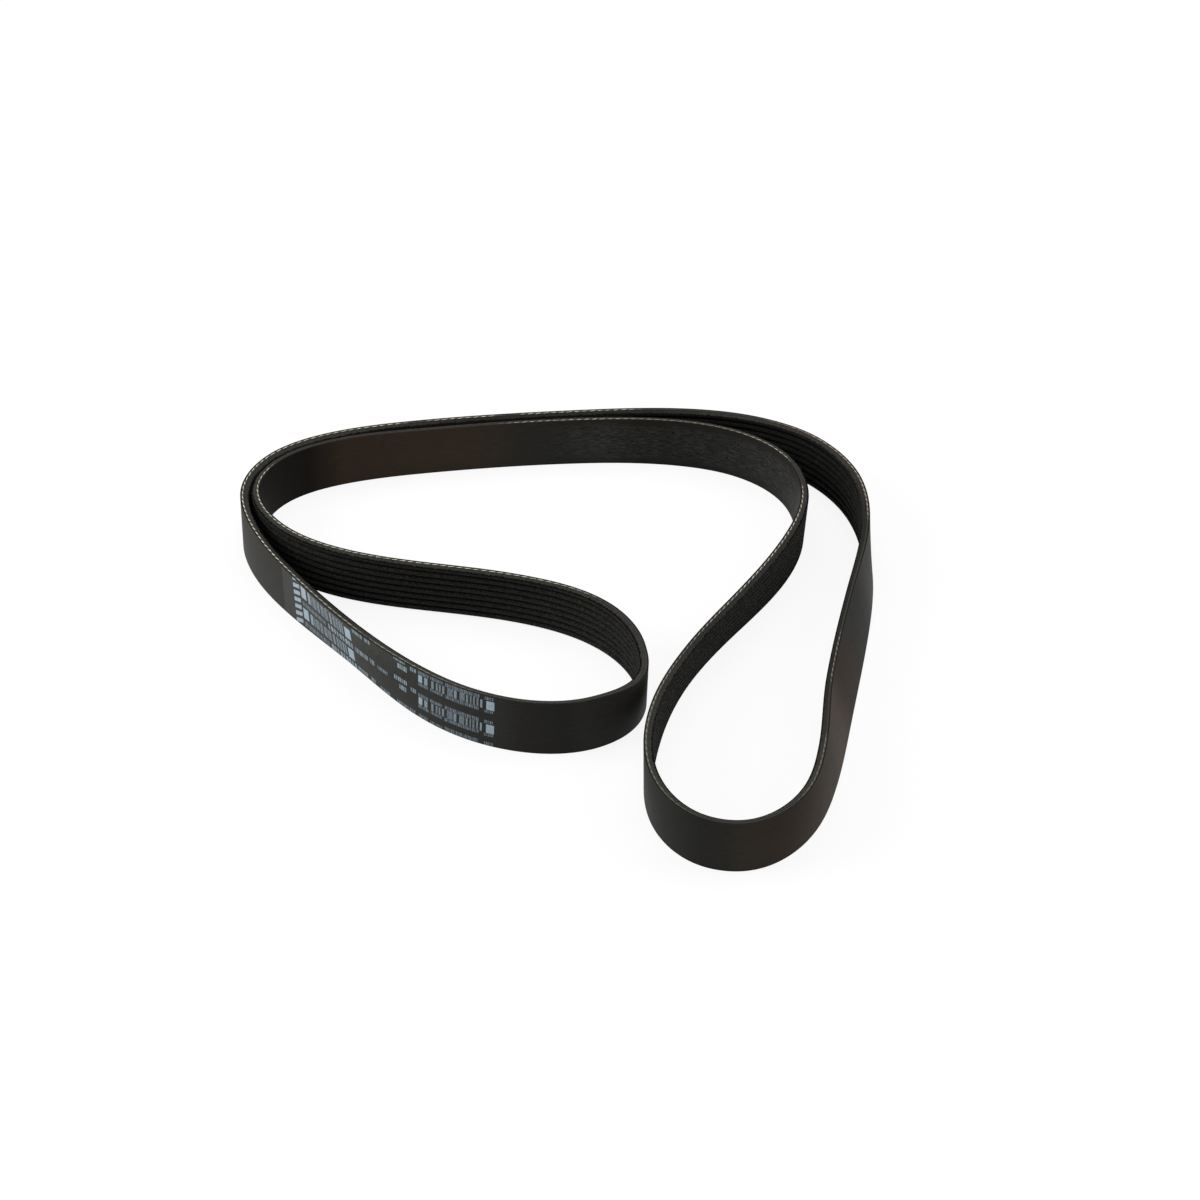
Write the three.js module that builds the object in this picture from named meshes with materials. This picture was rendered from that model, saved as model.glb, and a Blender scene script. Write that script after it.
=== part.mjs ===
// Serpentine belt: an endless ribbed drive belt for a car engine, off its pulleys. It stands on
// one cut edge and lies in a loose loop, with a lobe on the left that folds back beside the outer
// run and a longer lobe on the right. Millimetres, +Z up: the belt rests on z = 0 and the middle
// of its footprint is on the Z axis. The ribs face the inside of the loop, the smooth back faces
// outwards, and the outermost turn of the tension cord shows as a sliced strand in each cut edge.

import * as THREE from 'three';
import { toCreasedNormals } from 'three/addons/utils/BufferGeometryUtils.js';

// Section of the belt: ribs across its width, layers through its thickness
const RIB_COUNT = 8;
const RIB_PITCH = 3.56;
const GROOVE_ANGLE = 40; // degrees between the two flanks of a groove
const GROOVE_DEPTH = 2.3;
const GROOVE_FLOOR = 0.4; // flat width at the bottom of a groove
const BACK_COVER = 0.7; // rubber from the back to the cord
const CORD_DIAMETER = 1.0;
const CORD_BED = 0.4; // rubber from the cord to the groove floors
const CORD_CLEARANCE = 0.08; // round a strand in its channel

// Length round the loop, along the middle of the thickness
const BELT_LENGTH = 1906;

// Facets of the swept surfaces
const RING_COUNT = 114; // sections along the belt
const STRAIGHT_RADIUS = 900; // gentler bends than this get no wider steps
const CHANNEL_SIDES = 3; // flats round the half circle of a cord channel
const CREASE_ANGLE = 30; // degrees: a sharper corner shows as an edge
const ROUTE_SAMPLES = 6000;

// Route of the belt's middle line, counter-clockwise seen from above. A station is [x, y, lean]:
// a place on the plan, and the degrees by which the top edge leans over towards the ribs. The
// places are drawn for about the length above, and are spread or drawn in to give that length.
const OUTER_RUN = [
  [134.0, 140.5, -5.5], // right shoulder
  [111.5, 156.5, -3.0],
  [69.0, 167.0, -1.5],
  [5.5, 166.5, 1.5],
  [-71.0, 157.5, 1.5],
  [-112.5, 147.5, 0.0],
  [-150.5, 124.0, 0.0],
  [-161.0, 99.0, 0.0], // left shoulder
  [-155.0, 62.0, 2.5],
];
const LEFT_LOBE = [
  [-136.5, 30.5, 0.0], // front flank
  [-98.0, -16.0, -6.5],
  [-57.5, -61.5, 3.0],
  [-24.5, -80.0, 5.5],
  [21.5, -79.5, 4.5],
  [40.0, -62.0, -3.5], // nose
  [43.0, -38.5, 0.0],
  [22.0, -3.5, -3.0],
  [-16.0, 17.0, 0.0], // back flank
  [-60.5, 27.0, 0.0],
  [-114.0, 41.0, -3.0],
];
const RIGHT_LOBE = [
  [96.5, 148.5, 0.0],
  [121.5, 123.0, 2.0], // inner shoulder
  [127.5, 93.0, 3.5],
  [116.0, 50.5, 3.5],
  [84.0, 0.5, 10.5],
  [63.0, -36.5, 9.0], // left flank
  [48.0, -88.0, 0.0],
  [52.0, -144.0, 0.0],
  [70.0, -163.5, 0.0], // nose
  [90.5, -166.5, 0.0],
  [116.5, -147.5, 2.5],
  [131.0, -114.5, 10.0],
  [142.5, -62.5, 20.5], // right flank
  [155.5, 6.0, 18.5],
  [161.0, 73.5, 3.0],
  [154.0, 109.5, -3.5],
];
// The inner run goes from the left lobe to the right lobe, ribs to ribs beside the outer run. It
// passes the outer run's stations in turn, from the last one back: [gap between rib tips, lean]
const INNER_RUN = [
  [5.2, -4.0],
  [0.8, 0.0], // left shoulder
  [0.5, 0.0],
  [0.7, 0.0],
  [1.3, -2.5],
  [1.4, -1.5],
  [4.4, 0.0],
];

const BELT_WIDTH = RIB_COUNT * RIB_PITCH;
const BELT_THICKNESS = BACK_COVER + CORD_DIAMETER + CORD_BED + GROOVE_DEPTH;

// The section's own axes are a, through the thickness from the back to the ribs, and b, across
// the width from the lower cut edge to the upper one. The middle of the thickness is a = 0.
const BACK_FACE = -BELT_THICKNESS / 2;
const RIB_TIPS = BELT_THICKNESS / 2;
const GROOVE_FLOORS = RIB_TIPS - GROOVE_DEPTH;
const CORD_CENTRE = BACK_FACE + BACK_COVER + CORD_DIAMETER / 2;

/** Half circle of flats about the cord's centre: its bulge points to +b when side is 1. */
function cordHalfCircle(radius, edge, side) {
  return Array.from({ length: CHANNEL_SIDES + 1 }, (_, i) => {
    const angle = Math.PI * (1 - i / CHANNEL_SIDES);
    return [CORD_CENTRE + radius * Math.cos(angle), edge + side * radius * Math.sin(angle)];
  });
}

/** One rib: up its lower flank, across its flat tip and down its upper flank. */
function ribProfile(index) {
  const flankRun = GROOVE_DEPTH * Math.tan(THREE.MathUtils.degToRad(GROOVE_ANGLE / 2));
  const start = index * RIB_PITCH + GROOVE_FLOOR / 2;
  const end = (index + 1) * RIB_PITCH - GROOVE_FLOOR / 2;
  return [
    [GROOVE_FLOORS, start],
    [RIB_TIPS, start + flankRun],
    [RIB_TIPS, end - flankRun],
    [GROOVE_FLOORS, end],
  ];
}

/** Closed profile of the rubber: the cut edges run through the middle of a groove. */
function beltSection() {
  const channelRadius = CORD_DIAMETER / 2 + CORD_CLEARANCE;
  return [
    [BACK_FACE, 0],
    ...cordHalfCircle(channelRadius, 0, 1),
    [GROOVE_FLOORS, 0],
    ...Array.from({ length: RIB_COUNT }, (_, i) => ribProfile(i)).flat(),
    [GROOVE_FLOORS, BELT_WIDTH],
    ...cordHalfCircle(channelRadius, BELT_WIDTH, -1).reverse(),
    [BACK_FACE, BELT_WIDTH],
  ];
}

/** Half-round strand of cord, sliced off flush with the lower cut edge. */
function lowerCordSection() {
  return cordHalfCircle(CORD_DIAMETER / 2, 0, 1).reverse();
}

/** The same at the upper cut edge. */
function upperCordSection() {
  return cordHalfCircle(CORD_DIAMETER / 2, BELT_WIDTH, -1);
}

/** All stations in order, with the places of the free ones spread by a factor. */
function spreadStations(spread) {
  const spreadOut = ([x, y, lean]) => [x * spread, y * spread, lean];
  const outerRun = OUTER_RUN.map(spreadOut);
  const leftLobe = LEFT_LOBE.map(spreadOut);
  const innerRun = INNER_RUN.map(([gap, lean], i) => {
    const beside = outerRun.length - 1 - i;
    const [before, at, after] = [-1, 0, 1].map((step) => {
      const [x, y] = outerRun[beside + step] ?? leftLobe[0];
      return new THREE.Vector2(x, y);
    });
    const along = after.sub(before).normalize();
    const towardsRibs = new THREE.Vector2(-along.y, along.x);
    const place = at.addScaledVector(towardsRibs, BELT_THICKNESS + gap);
    return [place.x, place.y, lean];
  });
  return [...outerRun, ...leftLobe, ...innerRun, ...RIGHT_LOBE.map(spreadOut)];
}

/**
 * Closed cubic spline of one value over the stations: smooth in slope and in curvature. Each
 * round settles every station's bend against its neighbours', and the error halves or better.
 */
function closedSpline(values, lengths) {
  const count = values.length;
  const next = (i) => (i + 1) % count;
  const last = (i) => (i + count - 1) % count;
  const rise = values.map((value, i) => (values[next(i)] - value) / lengths[i]);
  const bend = new Array(count).fill(0); // second derivative at each station
  for (let round = 0; round < 2 * count; round += 1) {
    for (let i = 0; i < count; i += 1) {
      const before = lengths[last(i)];
      const after = lengths[i];
      const pull = 6 * (rise[i] - rise[last(i)]) - before * bend[last(i)] - after * bend[next(i)];
      bend[i] = pull / (2 * (before + after));
    }
  }
  return (i, t) => {
    const h = lengths[i];
    const [u, v] = [h - t, t];
    const fromBend = (bend[i] * u ** 3 + bend[next(i)] * v ** 3) / (6 * h);
    const fromStart = (values[i] / h - (bend[i] * h) / 6) * u;
    const fromEnd = (values[next(i)] / h - (bend[next(i)] * h) / 6) * v;
    return fromBend + fromStart + fromEnd;
  };
}

/** Closed curve of one value that stays flat between stations of like value. */
function closedEase(values, lengths) {
  const count = values.length;
  const next = (i) => (i + 1) % count;
  const last = (i) => (i + count - 1) % count;
  const slope = values.map(
    (_, i) => (values[next(i)] - values[last(i)]) / (lengths[i] + lengths[last(i)]),
  );
  return (i, t) => {
    const h = lengths[i];
    const u = t / h;
    const start = values[i] * (1 + 2 * u) + slope[i] * h * u;
    const end = values[next(i)] * (3 - 2 * u) - slope[next(i)] * h * (1 - u);
    return start * (1 - u) ** 2 + end * u ** 2;
  };
}

/** Finely sampled route through the stations: the place and the lean in radians. */
function sampleRoute(stations) {
  const column = (k) => stations.map((station) => station[k]);
  const lengths = stations.map(([x, y], i) => {
    const [nextX, nextY] = stations[(i + 1) % stations.length];
    return Math.hypot(nextX - x, nextY - y);
  });
  const [x, y] = [closedSpline(column(0), lengths), closedSpline(column(1), lengths)];
  const lean = closedEase(column(2), lengths);
  const total = lengths.reduce((sum, length) => sum + length, 0);
  const samples = [];
  let [segment, passed] = [0, 0];
  for (let k = 0; k < ROUTE_SAMPLES; k += 1) {
    const along = (total * k) / ROUTE_SAMPLES;
    while (along >= passed + lengths[segment]) {
      passed += lengths[segment];
      segment += 1;
    }
    const t = along - passed;
    const radians = THREE.MathUtils.degToRad(lean(segment, t));
    samples.push({ place: new THREE.Vector2(x(segment, t), y(segment, t)), lean: radians });
  }
  return samples;
}

/** Samples with what their neighbours give: the way to the ribs, the turn and the step ahead. */
function withDirections(samples) {
  return samples.map(({ place, lean }, k) => {
    const before = samples[(k + samples.length - 1) % samples.length].place;
    const after = samples[(k + 1) % samples.length].place;
    const arriving = place.clone().sub(before);
    const leaving = after.clone().sub(place);
    const step = leaving.length();
    const turn = Math.abs(Math.asin(arriving.cross(leaving) / arriving.length() / step));
    const along = after.clone().sub(before).normalize();
    return { place, lean, towardsRibs: new THREE.Vector2(-along.y, along.x), turn, step };
  });
}

/** Route whose middle line has the belt's length: the stations are spread until it fits. */
function fittedRoute() {
  const facet = BELT_LENGTH / ROUTE_SAMPLES;
  let [spread, length, samples] = [1, 0, []];
  while (Math.abs(length - BELT_LENGTH) > facet / ROUTE_SAMPLES) {
    samples = withDirections(sampleRoute(spreadStations(spread)));
    length = samples.reduce((sum, { step }) => sum + step, 0);
    spread *= BELT_LENGTH / length;
  }
  return samples;
}

/** Samples picked for the rings, closer together where the belt bends more tightly. */
function pickRings(samples) {
  const weights = samples.map(
    ({ turn, step }) => step * Math.sqrt(turn / step + 1 / STRAIGHT_RADIUS),
  );
  const share = weights.reduce((sum, weight) => sum + weight, 0) / RING_COUNT;
  const rings = [];
  let filled = 0;
  samples.forEach((sample, k) => {
    if (filled >= rings.length * share && rings.length < RING_COUNT) rings.push(sample);
    filled += weights[k];
  });
  return rings;
}

/** Point of the section on a ring: the section leans over and its lowest corner stays on z = 0. */
function placePoint({ place, towardsRibs, lean }, lift, [a, b]) {
  const across = a * Math.cos(lean) + b * Math.sin(lean);
  return [
    place.x + across * towardsRibs.x,
    place.y + across * towardsRibs.y,
    lift + b * Math.cos(lean) - a * Math.sin(lean),
  ];
}

/** Height by which a leaning section is raised so that it stands on its lowest corner. */
function restingLift({ lean }, section) {
  return -Math.min(...section.map(([a, b]) => b * Math.cos(lean) - a * Math.sin(lean)));
}

/** Closed band: one section swept round all the rings and joined to its own start. */
function sweep(section, rings, standing) {
  const size = section.length;
  const positions = rings.flatMap((ring) => {
    const lift = restingLift(ring, standing);
    return section.flatMap((point) => placePoint(ring, lift, point));
  });
  const faces = rings.flatMap((_, i) => {
    const here = i * size;
    const there = ((i + 1) % rings.length) * size;
    return section.flatMap((__, j) => {
      const k = (j + 1) % size;
      return [here + j, here + k, there + k, here + j, there + k, there + j];
    });
  });
  const geometry = new THREE.BufferGeometry();
  geometry.setAttribute('position', new THREE.Float32BufferAttribute(positions, 3));
  geometry.setIndex(faces);
  return toCreasedNormals(geometry, THREE.MathUtils.degToRad(CREASE_ANGLE));
}

function buildBelt() {
  const rubber = new THREE.MeshStandardMaterial({ color: 0x24211f, roughness: 0.72, metalness: 0 });
  const cord = new THREE.MeshStandardMaterial({ color: 0xb3a68e, roughness: 0.9, metalness: 0 });
  const rings = pickRings(fittedRoute());
  const standing = beltSection();
  const pieces = [
    ['belt', standing, rubber],
    ['edge_cord_lower', lowerCordSection(), cord],
    ['edge_cord_upper', upperCordSection(), cord],
  ];
  const group = new THREE.Group();
  for (const [name, section, material] of pieces) {
    const mesh = new THREE.Mesh(sweep(section, rings, standing), material);
    mesh.name = name;
    group.add(mesh);
  }
  const footprint = new THREE.Box3().setFromObject(group);
  const middle = footprint.getCenter(new THREE.Vector3());
  group.position.set(-middle.x, -middle.y, 0);
  return group;
}

export default buildBelt();
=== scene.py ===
"""Looks of a serpentine belt: an endless ribbed drive belt that stands on one cut edge.

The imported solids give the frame. Over them come the rubber with rounded corners, the sliced
tension cord of both cut edges, and the transfer print on the back. Sizes are in millimetres
until a surface is worked out, and in metres from there on.
"""

import logging
import math
from dataclasses import dataclass, replace
from enum import Enum

import bpy
import numpy as np
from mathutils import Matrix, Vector


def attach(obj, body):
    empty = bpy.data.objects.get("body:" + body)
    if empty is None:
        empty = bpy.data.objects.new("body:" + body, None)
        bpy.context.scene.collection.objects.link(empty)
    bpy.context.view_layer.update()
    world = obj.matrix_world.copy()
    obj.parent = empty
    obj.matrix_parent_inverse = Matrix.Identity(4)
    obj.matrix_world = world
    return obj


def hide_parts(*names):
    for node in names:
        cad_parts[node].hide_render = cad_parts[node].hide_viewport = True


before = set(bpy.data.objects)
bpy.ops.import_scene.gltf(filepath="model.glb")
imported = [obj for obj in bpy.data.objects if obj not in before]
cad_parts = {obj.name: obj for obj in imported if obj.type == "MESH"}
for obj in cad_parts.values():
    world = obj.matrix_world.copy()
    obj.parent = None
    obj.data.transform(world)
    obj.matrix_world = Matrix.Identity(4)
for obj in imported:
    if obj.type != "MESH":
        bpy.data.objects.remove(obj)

LOG = logging.getLogger("serpentine_belt")
METRES = 0.001  # metres in a millimetre
GOLDEN = (math.sqrt(5.0) - 1.0) / 2.0  # steps by it never fall into a visible repeat
RINGS = 1040  # round the belt, in the body and in the strands of its cords
Array = np.ndarray
Socket = bpy.types.NodeSocket
Pair = tuple[float, float]
Triple = tuple[float, float, float]
Table = tuple[Triple, ...]
Layers = tuple[list[tuple[Socket, int]], dict[str, Socket]]


class CutEdge(Enum):
    """The two edges where the belt was cut from its sleeve; the value is the way inwards."""

    LOWER = 1.0
    UPPER = -1.0


class Zone(Enum):
    """Stretches of the section that have a finish of their own; the value is the slot's index."""

    BACK = 0
    CUT = 1
    RIBS = 2


@dataclass(frozen=True)
class BeltSection:
    """Section across the belt, in millimetres.

    Its own axes are a, through the thickness from the back to the rib tips, and b, across the
    width from the lower cut edge to the upper one. The middle of the thickness is a = 0.
    """

    rib_count: int = 8
    rib_pitch: float = 3.56
    groove_angle: float = 40.0
    groove_depth: float = 2.3
    groove_floor: float = 0.4
    back_cover: float = 0.7
    cord_diameter: float = 1.0
    cord_bed: float = 0.4
    cord_clearance: float = 0.08
    channel_sides: int = 8
    tip_round: float = 0.3
    edge_round: float = 0.15

    @property
    def width(self) -> float:
        """Width of the belt, between its cut edges."""
        return self.rib_count * self.rib_pitch

    @property
    def thickness(self) -> float:
        """Thickness from the back to the rib tips."""
        return self.back_cover + self.cord_diameter + self.cord_bed + self.groove_depth

    @property
    def back_face(self) -> float:
        """Place of the back along a."""
        return -self.thickness / 2

    @property
    def groove_floors(self) -> float:
        """Place of the groove floors along a."""
        return self.thickness / 2 - self.groove_depth

    @property
    def cord_centre(self) -> float:
        """Place of the cord's centre along a."""
        return self.back_face + self.back_cover + self.cord_diameter / 2

    @property
    def flank_width(self) -> float:
        """Width across the belt that one flank of a rib takes."""
        return self.groove_depth * math.tan(math.radians(self.groove_angle / 2))

    def edge(self, side: CutEdge) -> float:
        """Place of a cut edge along b."""
        return 0.0 if side is CutEdge.LOWER else self.width

    def half_circle(self, radius: float, side: CutEdge) -> Array:
        """Half circle about the cord's centre, bulging inwards from a cut edge.

        With an angle that goes from half a turn to nothing, a is the centre plus the radius
        times its cosine, and b is the edge plus the radius times its sine, inwards.

        Args:
            radius: The half circle's radius.
            side: The cut edge that it opens to.

        Returns:
            Points in order of a, as an array with two columns.
        """
        angle = np.linspace(math.pi, 0.0, self.channel_sides + 1)
        a = self.cord_centre + radius * np.cos(angle)
        b = self.edge(side) + side.value * radius * np.sin(angle)
        return np.column_stack([a, b])

    def outline(self) -> Array:
        """Closed outline of the rubber, with its outer corners rounded.

        A corner is rounded by a quadratic curve. With u from 0 to 1, its point is the mean of
        the round's start, the corner and the round's end, with the weights (1 - u) squared,
        2u(1 - u) and u squared.

        Returns:
            Points in order round the outline, as an array with two columns.
        """
        half_floor = self.groove_floor / 2
        tip_start = half_floor + self.flank_width
        steps = np.array([half_floor, tip_start, self.rib_pitch - tip_start])
        steps = np.append(steps, self.rib_pitch - half_floor)
        heights = np.arange(self.rib_count)[:, None] * self.rib_pitch + steps
        tips = self.thickness / 2
        depths = np.tile([self.groove_floors, tips, tips, self.groove_floors], self.rib_count)
        ribs = np.column_stack([depths, heights.ravel()])
        radius = self.cord_diameter / 2 + self.cord_clearance
        lower = self.half_circle(radius, CutEdge.LOWER)
        upper = self.half_circle(radius, CutEdge.UPPER)[::-1]
        corners = np.vstack([
            [[self.back_face, 0.0]], lower, [[self.groove_floors, 0.0]],
            ribs,
            [[self.groove_floors, self.width]], upper, [[self.back_face, self.width]],
        ])
        edge, sharp = [self.edge_round], np.zeros(len(lower))
        rib_rounds = np.tile([0.0, self.tip_round, self.tip_round, 0.0], self.rib_count)
        reach = np.concatenate([edge, sharp, edge, rib_rounds, edge, sharp, edge])
        arriving = corners - np.roll(corners, 1, 0)
        leaving = np.roll(corners, -1, 0) - corners
        arriving /= np.linalg.norm(arriving, axis=1)[:, None]
        leaving /= np.linalg.norm(leaving, axis=1)[:, None]
        start = corners - arriving * reach[:, None]
        end = corners + leaving * reach[:, None]
        u = np.array([0.0, 0.5, 1.0])[None, :, None]
        curve = (1 - u) ** 2 * start[:, None] + 2 * u * (1 - u) * corners[:, None] + u**2 * end[:, None]
        kept = (reach[:, None] > 0) | (np.arange(3) == 1)
        return curve[kept]

    def zones(self, outline: Array) -> Array:
        """Zone of each stretch of the outline, from one point to the next.

        Args:
            outline: The outline's points.

        Returns:
            The index of each stretch's zone.
        """
        middle = (outline + np.roll(outline, -1, 0)) / 2
        inset = np.minimum(middle[:, 1], self.width - middle[:, 1])
        first_tip = self.groove_floor / 2 + self.flank_width
        zone = np.where(inset < first_tip, Zone.CUT.value, Zone.RIBS.value)
        on_back = middle[:, 0] < self.back_face + self.edge_round * 0.7  # with most of its rounds
        return np.where(on_back, Zone.BACK.value, zone)


@dataclass(frozen=True)
class TracedRoute:
    """Finely sampled route, with one row for each sample, and the place of its footprint."""

    along: Array  # millimetres from the first station
    place: Array
    towards_ribs: Array
    lean: Array  # radians
    lift: Array
    length: float
    middle: Pair = (0.0, 0.0)

    def surface(self, s: Array, a: Array, b: Array) -> Array:
        """Points of the leaning section, carried along the route.

        The section leans towards the ribs by an angle. Its point lies off the middle line by
        a times the cosine plus b times the sine, and stands at the lift plus b times the cosine
        less a times the sine. The lift keeps the section's lowest corner on the floor.

        Args:
            s: Places along the belt, in millimetres.
            a: Places through the thickness.
            b: Places across the width.

        Returns:
            Points in metres, with a last axis of three.
        """
        s, a, b = np.broadcast_arrays(s, a, b)
        columns = [*self.place.T, *self.towards_ribs.T, self.lean, self.lift]
        x, y, to_x, to_y, lean, lift = (
            np.interp(s, self.along, column, period=self.length) for column in columns
        )
        across = a * np.cos(lean) + b * np.sin(lean)
        height = lift + b * np.cos(lean) - a * np.sin(lean)
        x = x + across * to_x - self.middle[0]
        y = y + across * to_y - self.middle[1]
        return np.stack([x, y, height], axis=-1) * METRES

    def hoop(self, s: Array, b: Array) -> Array:
        """Places on the belt pulled into a round hoop, where patterns have no seam.

        Args:
            s: Places along the belt, in millimetres.
            b: Places across the width.

        Returns:
            Points in metres: the hoop's circle carries s and its height is b.
        """
        s, b = np.broadcast_arrays(s, b)
        radius = self.length / (2 * math.pi)
        turn = s / radius
        return np.stack([radius * np.cos(turn), radius * np.sin(turn), b], axis=-1) * METRES


@dataclass(frozen=True)
class BeltRoute:
    """Way of the belt's middle line, counter-clockwise seen from above.

    A station is a place on the plan in millimetres, and the degrees by which the top edge leans
    over towards the ribs. The stations are the CAD's, and are spread to give the belt's length.
    The inner run passes the outer run's stations from the last one back, ribs to ribs, and a
    station of it is the gap between the rib tips and the lean.
    """

    length: float = 1906.0
    samples: int = 6000
    outer_run: Table = (
        (134, 140.5, -5.5), (111.5, 156.5, -3), (69, 167, -1.5),
        (5.5, 166.5, 1.5), (-71, 157.5, 1.5), (-112.5, 147.5, 0),
        (-150.5, 124, 0), (-161, 99, 0), (-155, 62, 2.5),
    )
    left_lobe: Table = (
        (-136.5, 30.5, 0), (-98, -16, -6.5), (-57.5, -61.5, 3),
        (-24.5, -80, 5.5), (21.5, -79.5, 4.5), (40, -62, -3.5),
        (43, -38.5, 0), (22, -3.5, -3), (-16, 17, 0),
        (-60.5, 27, 0), (-114, 41, -3),
    )
    inner_run: tuple[Pair, ...] = (
        (5.2, -4), (0.8, 0), (0.5, 0), (0.7, 0), (1.3, -2.5), (1.4, -1.5), (4.4, 0),
    )
    right_lobe: Table = (
        (96.5, 148.5, 0), (121.5, 123, 2), (127.5, 93, 3.5),
        (116, 50.5, 3.5), (84, 0.5, 10.5), (63, -36.5, 9),
        (48, -88, 0), (52, -144, 0), (70, -163.5, 0),
        (90.5, -166.5, 0), (116.5, -147.5, 2.5), (131, -114.5, 10),
        (142.5, -62.5, 20.5), (155.5, 6, 18.5), (161, 73.5, 3),
        (154, 109.5, -3.5),
    )

    def stations(self, spread: float, thickness: float) -> Array:
        """All stations in order, with the free ones spread by a factor.

        Args:
            spread: The factor on the plan.
            thickness: The belt's thickness, which sets the inner run off from the outer one.

        Returns:
            Rows of x, y and lean.
        """
        scale = np.array([spread, spread, 1.0])
        outer = np.array(self.outer_run) * scale
        left = np.array(self.left_lobe) * scale
        right = np.array(self.right_lobe) * scale
        gap, lean = np.array(self.inner_run).T
        beside = len(outer) - 1 - np.arange(len(gap))
        plan = np.vstack([outer, left[:1]])[:, :2]
        heading = plan[beside + 1] - plan[beside - 1]
        heading /= np.linalg.norm(heading, axis=1)[:, None]
        offset = np.column_stack([-heading[:, 1], heading[:, 0]]) * (thickness + gap)[:, None]
        inner = np.column_stack([plan[beside] + offset, lean])
        return np.vstack([outer, left, inner, right])

    def sampled(self, stations: Array) -> tuple[Array, Array]:
        """Smooth route through the stations.

        The plan is a closed cubic spline over the chord lengths, whose second derivatives
        solve one linear system. The lean is a cubic with central-difference slopes, which
        stays flat between stations of like lean.

        Args:
            stations: Rows of x, y and lean.

        Returns:
            The places on the plan, and the lean in radians.
        """
        plan, lean = stations[:, :2], stations[:, 2]
        chord = np.linalg.norm(np.roll(plan, -1, 0) - plan, axis=1)
        count, i = len(chord), np.arange(len(chord))
        system = np.zeros((count, count))
        system[i, i] = 2 * (chord + np.roll(chord, 1))
        system[i, (i + 1) % count] += chord
        system[i, (i - 1) % count] += np.roll(chord, 1)
        rise = (np.roll(plan, -1, 0) - plan) / chord[:, None]
        bend = np.linalg.solve(system, 6 * (rise - np.roll(rise, 1, 0)))
        passed = np.linspace(0.0, chord.sum(), self.samples, endpoint=False)
        ends = np.cumsum(chord)
        k = np.searchsorted(ends, passed, side="right")
        after = (k + 1) % count
        h = chord[k][:, None]
        v = (passed - ends[k] + chord[k])[:, None]
        u = h - v
        place = (bend[k] * u**3 + bend[after] * v**3) / (6 * h)
        place += (plan[k] / h - bend[k] * h / 6) * u + (plan[after] / h - bend[after] * h / 6) * v
        slope = (np.roll(lean, -1) - np.roll(lean, 1)) / (chord + np.roll(chord, 1))
        share, step = (v / h)[:, 0], chord[k]
        start = lean[k] * (1 + 2 * share) + slope[k] * step * share
        end = lean[after] * (3 - 2 * share) - slope[after] * step * (1 - share)
        return place, np.radians(start * (1 - share) ** 2 + end * share**2)

    def trace(self, section: BeltSection) -> TracedRoute:
        """Route with the belt's length, for a section that stands on its lowest corner.

        Args:
            section: The belt's section.

        Returns:
            The route, with the middle of its footprint.
        """
        spread, length = 1.0, 0.0
        while abs(length - self.length) > self.length / self.samples**2:
            place, lean = self.sampled(self.stations(spread, section.thickness))
            steps = np.linalg.norm(np.roll(place, -1, 0) - place, axis=1)
            length = steps.sum()
            spread *= self.length / length
        heading = np.roll(place, -1, 0) - np.roll(place, 1, 0)
        heading /= np.linalg.norm(heading, axis=1)[:, None]
        towards_ribs = np.column_stack([-heading[:, 1], heading[:, 0]])
        a, b = section.outline().T[:, None, :]
        lift = -(b * np.cos(lean)[:, None] - a * np.sin(lean)[:, None]).min(axis=1)
        along = np.concatenate([[0.0], np.cumsum(steps)[:-1]])
        traced = TracedRoute(along, place, towards_ribs, lean, lift, length)
        plan = traced.surface(along[:, None], a, b)[..., :2] / METRES
        low, high = plan.min(axis=(0, 1)), plan.max(axis=(0, 1))
        return replace(traced, middle=tuple((low + high) / 2))


def ring_faces(rings: int, columns: int) -> Array:
    """Faces of a grid of points that closes both ways.

    Args:
        rings: The number of rings.
        columns: The points in a ring.

    Returns:
        Four vertex numbers for each face.
    """
    i, j = np.meshgrid(np.arange(rings), np.arange(columns), indexing="ij")
    beside, ahead = (j + 1) % columns, (i + 1) % rings
    corners = [i * columns + j, i * columns + beside, ahead * columns + beside, ahead * columns + j]
    return np.stack(corners, axis=-1).reshape(-1, 4)


def linear(colour: int) -> tuple[float, float, float, float]:
    """Linear colour of an sRGB hex value, with full opacity.

    Args:
        colour: The colour, such as 0x8899AA.

    Returns:
        Red, green, blue and alpha.
    """
    shares = [((colour >> shift) & 0xFF) / 255 for shift in (16, 8, 0)]
    lit = [c / 12.92 if c <= 0.04045 else ((c + 0.055) / 1.055) ** 2.4 for c in shares]
    return (*lit, 1.0)


def empty_tree(owner: bpy.types.ID) -> bpy.types.NodeTree:
    """Turns on the nodes of a material or a world, and clears them.

    Args:
        owner: The material or the world.

    Returns:
        Its node tree.
    """
    owner.use_nodes = True
    owner.node_tree.nodes.clear()
    return owner.node_tree


def add(
    tree: bpy.types.NodeTree, kind: str, inputs: dict | tuple = (), output: int | str = 0,
    **settings: object,
) -> Socket | None:
    """Adds a shader node with its settings, values and links.

    Args:
        tree: The node tree.
        kind: The node's type, without ShaderNode in front.
        inputs: A value or another node's output for each input, by name or number, or in order.
        output: The name or number of the output that is wanted.
        settings: Values of the node's own properties.

    Returns:
        The output, or nothing from a node that has none.
    """
    node = tree.nodes.new("ShaderNode" + kind)
    for key, value in settings.items():
        setattr(node, key, value)
    for key, value in inputs.items() if isinstance(inputs, dict) else enumerate(inputs):
        if isinstance(value, Socket):
            tree.links.new(value, node.inputs[key])
        else:
            node.inputs[key].default_value = value
    return node.outputs[output] if len(node.outputs) else None


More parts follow.
